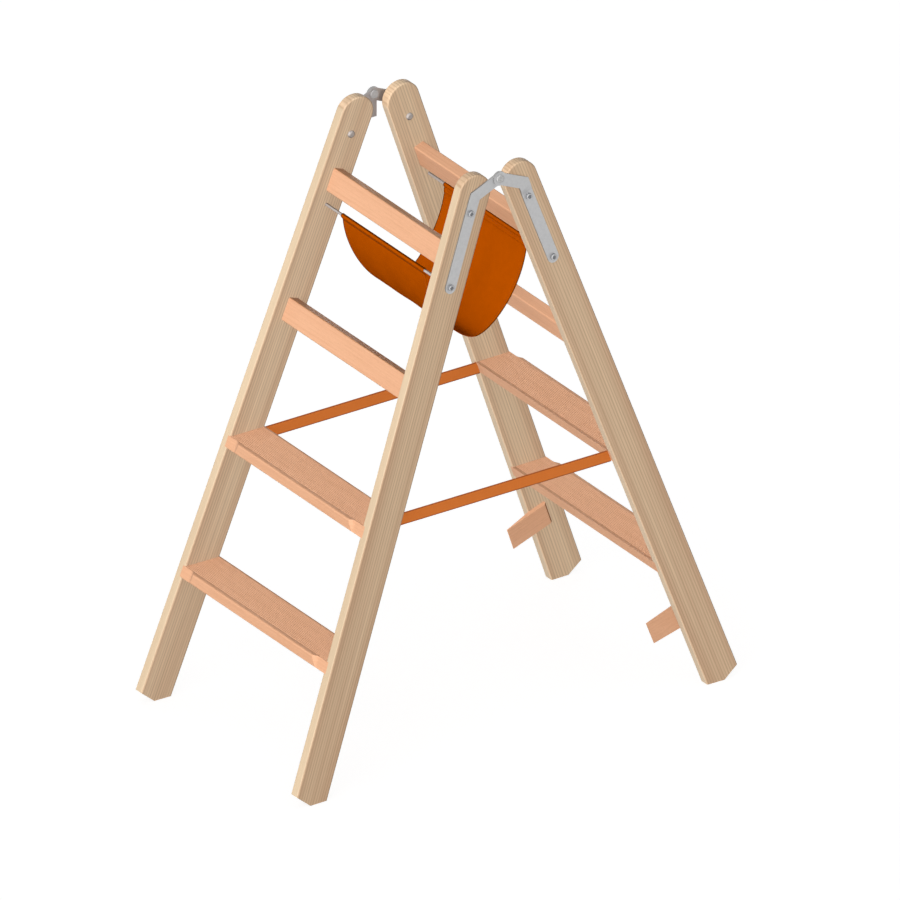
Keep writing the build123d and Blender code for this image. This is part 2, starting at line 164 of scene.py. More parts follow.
def relief(tree, height, strength, depth):
    shape = {"Height": height, "Strength": strength, "Distance": depth}
    bump = add_node(tree, "ShaderNodeBump", {}, shape)
    tree.links.new(bump.outputs["Normal"], tree.nodes["Principled BSDF"].inputs["Normal"])


def blotches(tree, place, scale, detail, roughness):
    pattern = {"Vector": place, "Scale": scale, "Detail": detail, "Roughness": roughness}
    return add_node(tree, "ShaderNodeTexNoise", {}, pattern).outputs["Fac"]


def stripes(tree, place, direction, width, wander, detail, ripple):
    settings = {"wave_type": "BANDS", "bands_direction": direction, "wave_profile": "SIN"}
    pattern = {
        "Vector": place,
        "Scale": one_stripe / width,
        "Distortion": wander,
        "Detail": detail,
        "Detail Scale": ripple,
    }
    return add_node(tree, "ShaderNodeTexWave", settings, pattern).outputs["Fac"]


def grain_place(tree, axes, origin, size):
    # Place in the board, counted in grain sizes: through it, across it and along the grain
    turned = {
        "Vector": surface(tree, "Object"),
        "Location": origin,
        "Rotation": Matrix(axes).transposed().to_euler(),
        "Scale": size,
    }
    return add_node(tree, "ShaderNodeMapping", {"vector_type": "TEXTURE"}, turned).outputs["Vector"]


def wood_grain(tree, axes, origin, size, detail):
    # Uneven streaks of about the given size
    return blotches(tree, grain_place(tree, axes, origin, size), 1.0, detail, grain_roughness)


def lacquered(tree, colour, fibres, gloss_low, gloss_high):
    bsdf = tree.nodes["Principled BSDF"]
    tree.links.new(colour, bsdf.inputs["Base Color"])
    tree.links.new(between(tree, fibres, gloss_high, gloss_low), bsdf.inputs["Roughness"])
    relief(tree, fibres, strength=0.5, depth=grain_depth)
    bsdf.inputs["Specular IOR Level"].default_value = lacquer_gloss
    bsdf.inputs["Coat Weight"].default_value = lacquer_coat
    bsdf.inputs["Coat Roughness"].default_value = lacquer_coat_roughness


def spruce(name, axes, origin, painted_light_tone, edge_and_sheen_tone):
    material, tree, _ = new_finish(name)
    ring_place = grain_place(tree, axes, origin, ring_size)
    rings = stripes(tree, ring_place, "Y", 1.0, ring_wander, detail=2.0, ripple=ring_ripple)
    ring_stops = [
        (0.0, spruce_pale),
        (0.62, spruce_middle),
        (0.90, spruce_dark),
        (1.0, spruce_dark),
    ]
    colour = colour_ramp(tree, rings, ring_stops)
    streaks = wood_grain(tree, axes, origin, streak_size, detail=3.0)
    streak_tone = colour_ramp(tree, streaks, [(0.30, streak_dull), (0.66, streak_bright)])
    drift = wood_grain(tree, axes, origin, drift_size, detail=1.0)
    drift_tone = colour_ramp(tree, drift, [(0.36, drift_dull), (0.64, drift_bright)])
    # The board's own factor is painted light
    for tone in (streak_tone, drift_tone, painted_light_tone):
        colour = mixed(tree, "MULTIPLY", 1.0, colour, tone)
    # The narrow faces, and only the last of the eased edges beside them, are pale, partly as a
    # painted sheen
    board_place = grain_place(tree, axes, origin, (stile_width, stile_width, stile_width))
    off_middle = worked_out(tree, "SUBTRACT", split(tree, board_place)["Y"], 0.5)
    edge = fade_in(tree, worked_out(tree, "ABSOLUTE", off_middle), edge_start, edge_full)
    edge_and_sheen_colour = mixed(tree, "MULTIPLY", edge_streaks, edge_and_sheen_tone, streak_tone)
    colour = mixed(tree, "MIX", edge, colour, edge_and_sheen_colour)
    fibres = wood_grain(tree, axes, origin, fibre_size, detail=2.0)
    fibre_tone = colour_ramp(tree, fibres, [(0.25, grey(0.94)), (0.75, grey(1.04))])
    colour = mixed(tree, "MULTIPLY", 1.0, colour, fibre_tone)
    lacquered(tree, colour, fibres, gloss_low=0.46, gloss_high=0.62)
    return material


for end, end_sign in (("front", -1), ("rear", 1)):
    for side, side_sign in (("right", 1), ("left", -1)):
        lean_up = Vector((0, -end_sign * sin(stile_lean), cos(stile_lean)))
        along = lean_up * cos(stile_splay) - Vector((side_sign * sin(stile_splay), 0, 0))
        across = Vector((0, end_sign * cos(stile_lean), sin(stile_lean)))
        inner_foot = Vector((side_sign * packed_high.x, end_sign * inner_foot_y, 0))
        axes = (across.cross(along), across, along)
        board = f"{end}_{side}"
        wood = spruce(f"spruce_{board}", axes, inner_foot, painted_light_boards[board], spruce_edges_and_sheen[end])
        nodes[f"{end}_stile_{side}"].data.materials[0] = wood


# Rungs and steps: planed beech, the rungs tenoned into the stiles and the steps let into them.
# Beech is pink-brown with short dark flecks along the grain; the treads are ribbed by a
# moulding cutter, so their grooves are in the solids and only the wood is made here; a painted
# shade darkens a line along each tread and the tops of the front rungs.
beech_pale = (0.872, 0.481, 0.287, 1)
beech_deep = (0.810, 0.431, 0.251, 1)
beech_fleck = (0.550, 0.258, 0.137, 1)
beech_streak = (0.0040, 0.0040, 0.16)
beech_fleck_size = (0.0008, 0.0008, 0.007)
beech_fibre = (0.0005, 0.0005, 0.020)
beech_drift = (0.045, 0.045, 0.25)
beech_drift_dull = (0.97, 0.955, 0.94, 1)
# Painted light: tone factors for single pieces, making up for the shade or light that they get
painted_light_pieces = {
    "rear_rung_lower": 1.09,
    "front_step_upper": 1.01,
    "guide_cleat_right": 0.97,
    "guide_cleat_left": 1.14,
}
# Painted shade: a dark line along each tread, near its inner edge
tread_shade_half_width = 0.0028
tread_shade_depth = 0.0030
tread_shade_tone = (0.70, 0.66, 0.64, 1)
first_groove = 0.0050
arris = 0.0014
# Painted shade on the tops of the front rungs, which face away from the light
painted_top_shade = (0.93, 0.86, 0.72, 1)
# The share of a narrow band that is fully covered; its sides fade out
band_core = 0.6


def beech(piece, axes):
    low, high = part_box(piece)
    origin = (low + high) / 2
    material, tree, _ = new_finish(f"beech_{piece}")
    streaks = wood_grain(tree, axes, origin, beech_streak, detail=3.0)
    colour = colour_ramp(tree, streaks, [(0.30, beech_deep), (0.62, beech_pale)])
    specks = wood_grain(tree, axes, origin, beech_fleck_size, detail=1.0)
    flecks = colour_ramp(tree, specks, [(0.60, grey(0.0)), (0.72, grey(0.30))])
    colour = mixed(tree, "MIX", flecks, colour, beech_fleck)
    fibres = wood_grain(tree, axes, origin, beech_fibre, detail=2.0)
    fibre_tone = colour_ramp(tree, fibres, [(0.25, grey(0.95)), (0.75, grey(1.04))])
    drift = wood_grain(tree, axes, origin, beech_drift, detail=2.0)
    drift_tone = colour_ramp(tree, drift, [(0.32, beech_drift_dull), (0.68, grey(1.0))])
    for tone in (fibre_tone, drift_tone, grey(painted_light_pieces.get(piece, 1.0))):
        colour = mixed(tree, "MULTIPLY", 1.0, colour, tone)
    lacquered(tree, colour, fibres, gloss_low=0.46, gloss_high=0.60)
    return material


def band_mask(tree, place, middle, half_width):
    # 1 on a narrow band round one place, fading out to 0 at its sides
    away = worked_out(tree, "ABSOLUTE", worked_out(tree, "SUBTRACT", place, middle))
    fade = {
        "Value": away,
        "From Min": half_width * band_core,
        "From Max": half_width,
        "To Min": 1.0,
        "To Max": 0.0,
    }
    return add_node(tree, "ShaderNodeMapRange", {}, fade).outputs["Result"]


def laid_over(tree, blend, share, tone):
    # Changes the colour that the material has so far where share is 1
    base = tree.nodes["Principled BSDF"].inputs["Base Color"]
    tree.links.new(mixed(tree, blend, share, base.links[0].from_socket, tone), base)


def painted_tread_shade(material, tread, place):
    # A painted shade darkens one line along the tread, near its inner edge
    tree = material.node_tree
    spot = split(tree, surface(tree, "Object"))
    line = band_mask(tree, spot["Y"], place, tread_shade_half_width)
    upper = band_mask(tree, spot["Z"], tread, tread_shade_depth)
    laid_over(tree, "MULTIPLY", worked_out(tree, "MULTIPLY", line, upper), tread_shade_tone)


def measured_along(tree, vector, direction):
    product = {0: vector, 1: direction}
    made = add_node(tree, "ShaderNodeVectorMath", {"operation": "DOT_PRODUCT"}, product)
    return made.outputs["Value"]


def toned_side(material, facing, start, full, tone):
    # Another tone on the faces that look one way; start and full are cosines off that way
    tree = material.node_tree
    level = measured_along(tree, surface(tree, "Normal"), facing)
    laid_over(tree, "MULTIPLY", fade_in(tree, level, start, full), tone)


rung_axes = ((0, 1, 0), (0, 0, 1), (1, 0, 0))
front_frame_up = Vector((0, sin(stile_lean), cos(stile_lean)))
for end in ("front", "rear"):
    for kind in ("rung_upper", "rung_lower", "step_upper", "step_lower"):
        piece = f"{end}_{kind}"
        low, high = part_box(piece)
        wood = beech(piece, rung_axes)
        if "step" in kind:
            # A line of painted shade along the tread
            painted_tread_shade(wood, high.z, high.y - arris if end == "front" else low.y + first_groove)
        elif end == "front":
            # Painted shade on the top, which faces away from the light
            toned_side(wood, front_frame_up, start=0.3, full=0.9, tone=painted_top_shade)
        nodes[piece].data.materials[0] = wood


# Guide cleats: two short beech blocks glued to the rear stiles' inner faces near the floor.
# They keep the folded frames in line; their grain runs across the stile, towards the front.
# The sawn back ends are end grain; their darker tone is partly end grain and partly painted shade.
end_grain_and_shade_tone = (0.75, 0.47, 0.22, 1)
cleat_along = Vector((0, cos(stile_lean), sin(stile_lean)))
cleat_axes = (Vector((0, -sin(stile_lean), cos(stile_lean))), Vector((1, 0, 0)), cleat_along)
for side in ("right", "left"):
    wood = beech(f"guide_cleat_{side}", cleat_axes)
    # The back ends are darker, as end grain and as painted shade
    toned_side(wood, cleat_along, start=0.4, full=0.7, tone=end_grain_and_shade_tone)
    nodes[f"guide_cleat_{side}"].data.materials[0] = wood


# Hinge plates: dog-legged steel strips pressed from sheet and zinc plated, one on each stile.
# The plating is a pale, slightly mottled grey, thinner and so darker on the cut edges; the
# inner faces are darkened by a painted shade.
plate_light = (0.860, 0.860, 0.865, 1)
plate_dark = (0.795, 0.795, 0.802, 1)
plate_cut = (0.600, 0.595, 0.590, 1)
plate_inner_shade = (0.96, 0.92, 0.90, 1)
plate_edge_round = 0.0006
sharp_corner = radians(40)
mottle_depth = 0.0001


def plated_steel(name, light, dark, gloss, mottle_size, shine):
    # A smaller gloss value is a smoother plating; shine is how far it mirrors as bare metal
    material, tree, bsdf = new_finish(name)
    spot = surface(tree, "Object")
    mottle = blotches(tree, spot, 1 / mottle_size, detail=4.0, roughness=0.6)
    colour = colour_ramp(tree, mottle, [(0.30, dark), (0.68, light)])
    tree.links.new(colour, bsdf.inputs["Base Color"])
    tree.links.new(between(tree, mottle, *gloss), bsdf.inputs["Roughness"])
    relief(tree, mottle, strength=0.25, depth=mottle_depth)
    bsdf.inputs["Metallic"].default_value = shine
    return material


def cut_edges_and_inner_shade(material):
    # The faces look along X, outwards or inwards, and the cut edges look elsewhere
    tree = material.node_tree
    place = split(tree, surface(tree, "Object"))["X"]
    facing = split(tree, surface(tree, "Normal"))["X"]
    outwards = worked_out(tree, "MULTIPLY", place, facing)
    # Painted shade on the inner faces
    laid_over(tree, "MULTIPLY", fade_in(tree, outwards, start=0.0, full=-0.05), plate_inner_shade)
    sideways = worked_out(tree, "ABSOLUTE", facing)
    laid_over(tree, "MIX", fade_in(tree, sideways, start=0.75, full=0.35), plate_cut)


plate_steel = plated_steel(
    "zinc_plate", plate_light, plate_dark, gloss=(0.48, 0.60), mottle_size=0.006, shine=1.0
)
cut_edges_and_inner_shade(plate_steel)
for end in ("front", "rear"):
    for side in ("right", "left"):
        plate = nodes[f"{end}_hinge_plate_{side}"]
        plate.data.materials[0] = plate_steel
        eased = plate.modifiers.new("eased_edges", "BEVEL")
        eased.width = plate_edge_round
        eased.segments = 2
        eased.limit_method = "ANGLE"
        eased.angle_limit = sharp_corner


# Tie rods, bolts, nuts, caps and pivots: turned steel, zinc plated and dulled by handling.
# The rods run through both stiles; bolts and caps have hexagonal sockets outside the plates.
# Below the flat tops of the bolt and cap heads, their shoulders and sockets get a painted shade.
fastener_light = (0.720, 0.720, 0.725, 1)
fastener_dark = (0.640, 0.640, 0.648, 1)
# Painted shade in the sockets and on the shoulders of the heads
socket_shade_colour = (0.300, 0.305, 0.320, 1)
socket_start = 0.0002
socket_fade = 0.0008
# The nuts' grey is tinted brown as a painted reflection of the wood around them
nut_light_wood_reflection = (0.640, 0.585, 0.550, 1)
nut_dark_wood_reflection = (0.540, 0.490, 0.460, 1)
# Painted shade on the nuts' undersides
underside_shade = (0.42, 0.38, 0.36, 1)
rod_light = (0.740, 0.675, 0.640, 1)
rod_dark = (0.670, 0.605, 0.570, 1)
# The rods are darker along their upper sides
rod_upper_side_tone = (0.45, 0.40, 0.36, 1)
pivot_light = (0.700, 0.695, 0.690, 1)
pivot_dark = (0.610, 0.605, 0.600, 1)


def painted_socket_shading(material, piece, end_sign):
    # Painted shade by depth below the flat tops of the heads, which lie in one plane on each side
    outward = Vector((
        cos(stile_splay),
        -end_sign * sin(stile_splay) * sin(stile_lean),
        sin(stile_splay) * cos(stile_lean),
    ))
    top = max(
        abs(corner.co.x) * outward.x + corner.co.y * outward.y + corner.co.z * outward.z
        for corner in piece.data.vertices
    )
    tree = material.node_tree
    spot = split(tree, surface(tree, "Object"))
    one_side = {"X": worked_out(tree, "ABSOLUTE", spot["X"]), "Y": spot["Y"], "Z": spot["Z"]}
    folded = add_node(tree, "ShaderNodeCombineXYZ", {}, one_side).outputs["Vector"]
    depth = {
        "Value": measured_along(tree, folded, outward),
        "From Min": top - socket_start,
        "From Max": top - socket_start - socket_fade,
    }
    recess = add_node(tree, "ShaderNodeMapRange", {}, depth).outputs["Result"]
    laid_over(tree, "MIX", recess, socket_shade_colour)


nut_steel = plated_steel(
    "zinc_nut", nut_light_wood_reflection, nut_dark_wood_reflection, gloss=(0.66, 0.78), mottle_size=0.003, shine=0.4
)
# The nuts are darker underneath, as painted shade
toned_side(nut_steel, Vector((0, 0, -1)), start=-0.1, full=0.7, tone=underside_shade)
rod_steel = plated_steel(
    "drawn_rod", rod_light, rod_dark, gloss=(0.45, 0.56), mottle_size=0.004, shine=0.5
)
# Darker along the upper sides
toned_side(rod_steel, front_frame_up, start=0.55, full=0.95, tone=rod_upper_side_tone)
for end, end_sign in (("front", -1), ("rear", 1)):
    nodes[f"{end}_tie_rod"].data.materials[0] = rod_steel
    nodes[f"{end}_bolt_nuts"].data.materials[0] = nut_steel
    nodes[f"{end}_strap_pins"].data.materials[0] = rod_steel
    for part in ("rod_caps", "hinge_bolts"):
        piece = nodes[f"{end}_{part}"]
        head_steel = plated_steel(
            f"zinc_{end}_{part}",
            fastener_light,
            fastener_dark,
            gloss=(0.68, 0.80),
            mottle_size=0.003,
            shine=0.4,
        )
        painted_socket_shading(head_steel, piece, end_sign)
        piece.data.materials[0] = head_steel
pivot_steel = plated_steel(
    "zinc_pivot", pivot_light, pivot_dark, gloss=(0.66, 0.78), mottle_size=0.004, shine=0.5
)
for side in ("right", "left"):
    nodes[f"hinge_pivot_{side}"].data.materials[0] = pivot_steel


# Tool sling: one rectangle of heavy orange canvas hung in a deep curve between the tie rods.
# Each end is turned round its rod and sewn down; the two sides have narrow sewn hems.
# It is made in two halves that meet along the belly.
canvas_thickness = 0.0012
single_layer = 0.62
canvas_bright = (0.565, 0.0965, 0.0, 1)
canvas_deep = (0.535, 0.0910, 0.0, 1)
canvas_edge = (0.190, 0.0380, 0.0, 1)
thread_pitch = 0.0011
thread_wander = 0.6
weave_shade = 0.7
weave_depth = 0.0003
slub_scale = 60.0
thread_dark = (0.20, 0.030, 0.001, 1)
thread_light = (0.30, 0.050, 0.002, 1)
twist_scale = 2500.0
twist_depth = 0.0001
# Half widths of the dark lines: at the side edges, over the rods and along the seams
edge_line = 0.0026
crest_line = 0.0028
seam_line = 0.0016
hem_depth = 0.0085
seam_drop = 1.12 * hem_depth
flap_end = 0.008
flap_lift = 1.15 * canvas_thickness
side_hem = 0.008
edge_row = 0.8 * side_hem
sling_columns = 96
row_size = sling_columns + 1
wall_rows = 73
row_crowding = 1.5
belly_row = 0.0015
loop_steps = 12
seam_steps = 400
ripple_height = 0.0009
long_ripple = 0.118
short_ripple = 0.067
short_share = 0.6
stitch_length = 0.0030
stitch_gap = 0.0014
stitch_pitch = stitch_length + stitch_gap
stitch_radius = 0.00030
stitch_proud = canvas_thickness * 0.5 + stitch_radius * 0.2
stitch_sides = 6
stitch_rings = ((0.0, 0.35), (0.2, 0.9), (0.5, 1.0), (0.8, 0.9), (1.0, 0.35))
rod_gap = 0.0003
rod_low, rod_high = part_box("rear_tie_rod")
rod_y = (rod_low.y + rod_high.y) / 2
rod_z = (rod_low.z + rod_high.z) / 2
rod_radius = (rod_high.z - rod_low.z) / 2
sling_low, sling_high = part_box("tool_sling")
sling_half = (sling_high.x - sling_low.x) / 2
sling_middle = (sling_high.x + sling_low.x) / 2
belly_z = sling_low.z + canvas_thickness
belly_reach = 0.34 * rod_y
shoulder_y = 0.954 * rod_y
shoulder_z = rod_z - 0.527 * (rod_z - belly_z)
loop_radius = rod_radius + rod_gap + canvas_thickness / 2


def sling_wall(share):
    # Middle line of the canvas from the belly (0) to the rod's centre (1), and its direction
    corners = [(0, belly_z), (belly_reach, belly_z), (shoulder_y, shoulder_z), (rod_y, rod_z)]
    points = [Vector(corner) for corner in corners]
    rest = 1 - share
    place = (
        points[0] * rest**3
        + points[1] * 3 * rest**2 * share
        + points[2] * 3 * rest * share**2
        + points[3] * share**3
    )
    slope = (
        (points[1] - points[0]) * rest**2
        + (points[2] - points[1]) * 2 * rest * share
        + (points[3] - points[2]) * share**2
    )
    return place, slope.normalized()


def eased_share(value):
    value = min(max(value, 0.0), 1.0)
    return value * value * (3 - 2 * value)


def sling_route():
    # Points (y, z) of one half: up the wall, over the rod and down inside to the flap's edge
    shares = [1 - (1 - row / wall_rows) ** row_crowding for row in range(wall_rows + 1)]
    shares[1] = belly_row
    wall = [sling_wall(share) for share in shares]
    lengths = [0.0]
    for (here, _), (there, _) in zip(wall, wall[1:]):
        lengths.append(lengths[-1] + (there - here).length)
    to_top = [lengths[-1] - length for length in lengths]
    route = []
    for (place, slope), left in zip(wall, to_top):
        outward = Vector((slope.y, -slope.x))
        route.append(place + outward * loop_radius * eased_share(1 - left / hem_depth))
    top = Vector((rod_y, rod_z))
    for turn in range(1, loop_steps):
        angle = pi * turn / loop_steps
        route.append(top + Vector((cos(angle), sin(angle))) * loop_radius)
    for (place, slope), left in reversed(list(zip(wall, to_top))):
        if left > hem_depth + flap_end:
            break
        inward = Vector((-slope.y, slope.x))
        spread = loop_radius * eased_share(1 - left / hem_depth)
        route.append(place + inward * max(spread, flap_lift - spread))
    return route


def canvas_material(seam_length, crest_length):
    material, tree, bsdf = new_finish("orange_canvas")
    cloth = add_node(tree, "ShaderNodeUVMap", {"uv_map": "cloth"}, {}).outputs["UV"]
    warp = stripes(tree, cloth, "X", thread_pitch, thread_wander, detail=1.0, ripple=1.0)
    weft = stripes(tree, cloth, "Y", thread_pitch, thread_wander, detail=1.0, ripple=1.0)
    weave = worked_out(tree, "MULTIPLY", warp, weft)
    slubs = blotches(tree, cloth, slub_scale, detail=4.0, roughness=0.5)
    tone = colour_ramp(tree, slubs, [(0.28, canvas_deep), (0.62, canvas_bright)])
    shade = colour_ramp(tree, weave, [(0.0, grey(0.72)), (0.5, grey(1.0))])
    tone = mixed(tree, "MULTIPLY", weave_shade, tone, shade)
    # The cloth is darker over the rods, along the seams and at three of its four turned edges
    spread = split(tree, cloth)
    along_rod = spread["X"]
    up_wall = worked_out(tree, "ABSOLUTE", spread["Y"])
    rear = worked_out(tree, "GREATER_THAN", spread["Y"], 0.0)
    for place, middle, half_width in (
        (along_rod, 0.0, edge_line),
        (worked_out(tree, "MULTIPLY", along_rod, rear), 2 * sling_half, edge_line),
        (up_wall, crest_length, crest_line),
        (up_wall, seam_length, seam_line),
    ):
        tone = mixed(tree, "MIX", band_mask(tree, place, middle, half_width), tone, canvas_edge)
    tree.links.new(tone, bsdf.inputs["Base Color"])
    relief(tree, weave, strength=0.6, depth=weave_depth)
    bsdf.inputs["Roughness"].default_value = 0.9
    bsdf.inputs["Specular IOR Level"].default_value = 0.0
    return material


def thread_material():
    material, tree, bsdf = new_finish("sewing_thread")
    spot = surface(tree, "Object")
    twist = blotches(tree, spot, twist_scale, detail=2.0, roughness=0.5)
    colour = colour_ramp(tree, twist, [(0.3, thread_dark), (0.7, thread_light)])
    tree.links.new(colour, bsdf.inputs["Base Color"])
    relief(tree, twist, strength=0.5, depth=twist_depth)
    bsdf.inputs["Roughness"].default_value = 0.7
    return material


def ripple(x, length, end_sign):
    # How far the cloth wavers outwards off its smooth curve, most at half the wall's height
    free = sin(pi * min(length / wall_length, 1.0)) ** 2
    waves = sin(2 * pi * x / long_ripple + end_sign) + short_share * sin(2 * pi * x / short_ripple)
    return ripple_height * free * waves


def canvas_half(end, end_sign):
    corners = []
    for place, length in zip(route, route_length):
        for column in range(row_size):
            x = sling_middle + sling_half * (2 * column / sling_columns - 1)
            corners.append((x, end_sign * (place.x + ripple(x, length, end_sign)), place.y))
    faces = []
    for row in range(len(route) - 1):
        for column in range(sling_columns):
            low = row * row_size + column
            quad = (low, low + 1, low + 1 + row_size, low + row_size)
            faces.append(quad if end_sign < 0 else quad[::-1])
    mesh = bpy.data.meshes.new(f"sling_{end}_half")
    mesh.from_pydata(corners, [], faces)
    mesh.shade_smooth()
    # The cut along the belly stays crisp, so that the shading runs on across it
    for edge in mesh.edges:
        edge.use_edge_sharp = max(edge.vertices) < row_size
    cloth_map = mesh.uv_layers.new(name="cloth")
    for loop in mesh.loops:
        row, column = divmod(loop.vertex_index, row_size)
        along_rod = sling_half * 2 * column / sling_columns
        cloth_map.data[loop.index].uv = (along_rod, end_sign * route_length[row])
    mesh.materials.append(canvas)
    half = bpy.data.objects.new(f"sling_{end}_half", mesh)
    bpy.context.scene.collection.objects.link(half)
    # The canvas is thicker where it is turned over in the side hems
    hems = half.vertex_groups.new(name="side_hems")
    for index, corner in enumerate(corners):
        if sling_half - abs(corner[0] - sling_middle) < side_hem:
            hems.add([index], 1.0, "REPLACE")
    thick = half.modifiers.new("canvas", "SOLIDIFY")
    thick.thickness = canvas_thickness
    thick.offset = 0.0
    thick.vertex_group = "side_hems"
    thick.thickness_vertex_group = single_layer
    return half


def seam_stitches(end_sign):
    # One row under the rod, seen on both faces of the wall; the inner ones lie on the flap
    step = seam_steps
    left = 0.0
    while left < hem_depth:
        step -= 1
        above, here = sling_wall((step + 1) / seam_steps)[0], sling_wall(step / seam_steps)[0]
        left += (above - here).length
    seam, slope = sling_wall((step + 1) / seam_steps)
    outward = Vector((0, end_sign * slope.y, -slope.x))
    seam_place = Vector((0, end_sign * seam.x, seam.y))
    stitches = []
    for number in range(int((2 * sling_half - 2 * side_hem) / stitch_pitch)):
        x = sling_low.x + side_hem + number * stitch_pitch
        for face in (1, -1):
            depth = stitch_proud if face > 0 else flap_lift + stitch_proud
            lift = seam_place + outward * face * depth
            start = lift + Vector((x, 0, 0))
            stitches.append((start, start + Vector((stitch_length, 0, 0)), outward * face))
    return stitches


def edge_stitches(end_sign):
    # A row up each side hem, seen on both faces
    stitches = []
    for side_sign in (1, -1):
        x = sling_middle + side_sign * (sling_half - edge_row)
        row = 0
        for number in range(int((wall_length - hem_depth) / stitch_pitch)):
            first_hole = number * stitch_pitch
            ends = []
            for reach in (first_hole, first_hole + stitch_length):
                while route_length[row + 1] < reach:
                    row += 1
                part = (reach - route_length[row]) / (route_length[row + 1] - route_length[row])
                point = route[row].lerp(route[row + 1], part)
                ends.append(Vector((x, end_sign * point.x, point.y)))
            along = (ends[1] - ends[0]).normalized()
            normal = along.cross(Vector((1, 0, 0))).normalized() * end_sign
            push = Vector((0, end_sign * ripple(x, first_hole, end_sign), 0))
            for face in (1, -1):
                lift = normal * face * stitch_proud + push
                stitches.append((ends[0] + lift, ends[1] + lift, normal * face))
    return stitches


def stitch_mesh(name, stitches):
    # Each stitch is a short spindle from one needle hole to the next
    corners = []
    faces = []
    for start, end, up in stitches:
        along = end - start
        across = along.cross(up).normalized()
        first = len(corners)
        for share, thick in stitch_rings:
            for turn in range(stitch_sides):
                angle = 2 * pi * turn / stitch_sides
                spoke = across * cos(angle) + up * sin(angle)
                corners.append(start + along * share + spoke * stitch_radius * thick)
        last = first + (len(stitch_rings) - 1) * stitch_sides
        for ring in range(first, last, stitch_sides):
            for turn in range(stitch_sides):
                low = ring + turn
                beside = ring + (turn + 1) % stitch_sides
                faces.append((low, beside, beside + stitch_sides, low + stitch_sides))
        faces.append([first + turn for turn in reversed(range(stitch_sides))])
        faces.append([last + turn for turn in range(stitch_sides)])
    mesh = bpy.data.meshes.new(name)
    mesh.from_pydata(corners, [], faces)
    mesh.shade_smooth()
    return mesh


route = sling_route()
route_length = [0.0]
for here, there in zip(route, route[1:]):
    route_length.append(route_length[-1] + (there - here).length)
wall_length = route_length[wall_rows]
canvas = canvas_material(wall_length - seam_drop, wall_length + loop_radius * pi / 2)
thread = thread_material()
for end, end_sign in (("front", -1), ("rear", 1)):
    half = canvas_half(end, end_sign)
    stitches = seam_stitches(end_sign) + edge_stitches(end_sign)
    sewing_name = f"sling_{end}_stitches"
    sewing = bpy.data.objects.new(sewing_name, stitch_mesh(sewing_name, stitches))
    sewing.data.materials.append(thread)
    bpy.context.scene.collection.objects.link(sewing)

    # The transforms of both pieces are baked into their meshes
    for piece in (half, sewing):
        if end_sign > 0:
            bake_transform(piece)
        else:
            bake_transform(piece)
    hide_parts("tool_sling")


# Straps: two lengths of woven orange webbing that stop the frames from spreading.
# Each end has a narrow tongue, pinned in a slot in an upper step; between the steps it is taut.
webbing_bright = (0.905, 0.236, 0.0260, 1)
webbing_deep = (0.730, 0.157, 0.0070, 1)
webbing_selvage = (0.470, 0.100, 0.0070, 1)
webbing_rib = 0.0022
webbing_pick = 0.0016
pick_wander = 0.4
rib_share = 0.7
pick_share = 0.3
webbing_depth = 0.0003
selvage_width = 0.0030
selvage_steps = 4
station_length = 0.0028
fewest_stations = 4
tongue_half = 0.0068
tongue_thin = 0.8
tongue_overlap = 0.012
step_gap = 0.0003
end_length = 0.058
band_low, band_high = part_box("strap_right")
half_thick = (band_high.x - band_low.x) / 2
half_wide = (band_high.z - band_low.z) / 2
step_low, step_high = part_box("rear_step_upper")
# Cross-section of the webbing: flat faces with a row of points near each rounded selvage
flat = half_wide - half_thick
face_z = 0.9 * flat
turns = [pi / 2 * turn / selvage_steps for turn in range(selvage_steps + 1)]
selvage = [(half_thick * sin(turn), flat + half_thick * cos(turn)) for turn in turns]
face = [(half_thick, face_z), (half_thick, -face_z)]
one_side = selvage + face + [(x, -z) for x, z in reversed(selvage)]
section = one_side + [(-x, -z) for x, z in one_side[1:-1]]


def webbing_material():
    material, tree, bsdf = new_finish("orange_webbing")
    band = add_node(tree, "ShaderNodeUVMap", {"uv_map": "band"}, {}).outputs["UV"]
    ribs = stripes(tree, band, "Y", webbing_rib, 0.0, detail=2.0, ripple=1.0)
    picks = stripes(tree, band, "X", webbing_pick, pick_wander, detail=1.0, ripple=1.0)
    ribbed = worked_out(tree, "MULTIPLY", ribs, rib_share)
    weave = worked_out(tree, "MULTIPLY_ADD", picks, pick_share, ribbed)
    tone = colour_ramp(tree, weave, [(0.05, webbing_deep), (0.55, webbing_bright)])
    across = split(tree, band)["Y"]
    for edge in (half_wide, -half_wide):
        mask = band_mask(tree, across, edge, selvage_width)
        tone = mixed(tree, "MIX", mask, tone, webbing_selvage)
    tree.links.new(tone, bsdf.inputs["Base Color"])
    relief(tree, weave, strength=0.7, depth=webbing_depth)
    bsdf.inputs["Roughness"].default_value = 0.7
    bsdf.inputs["Sheen Weight"].default_value = 0.1
    return material


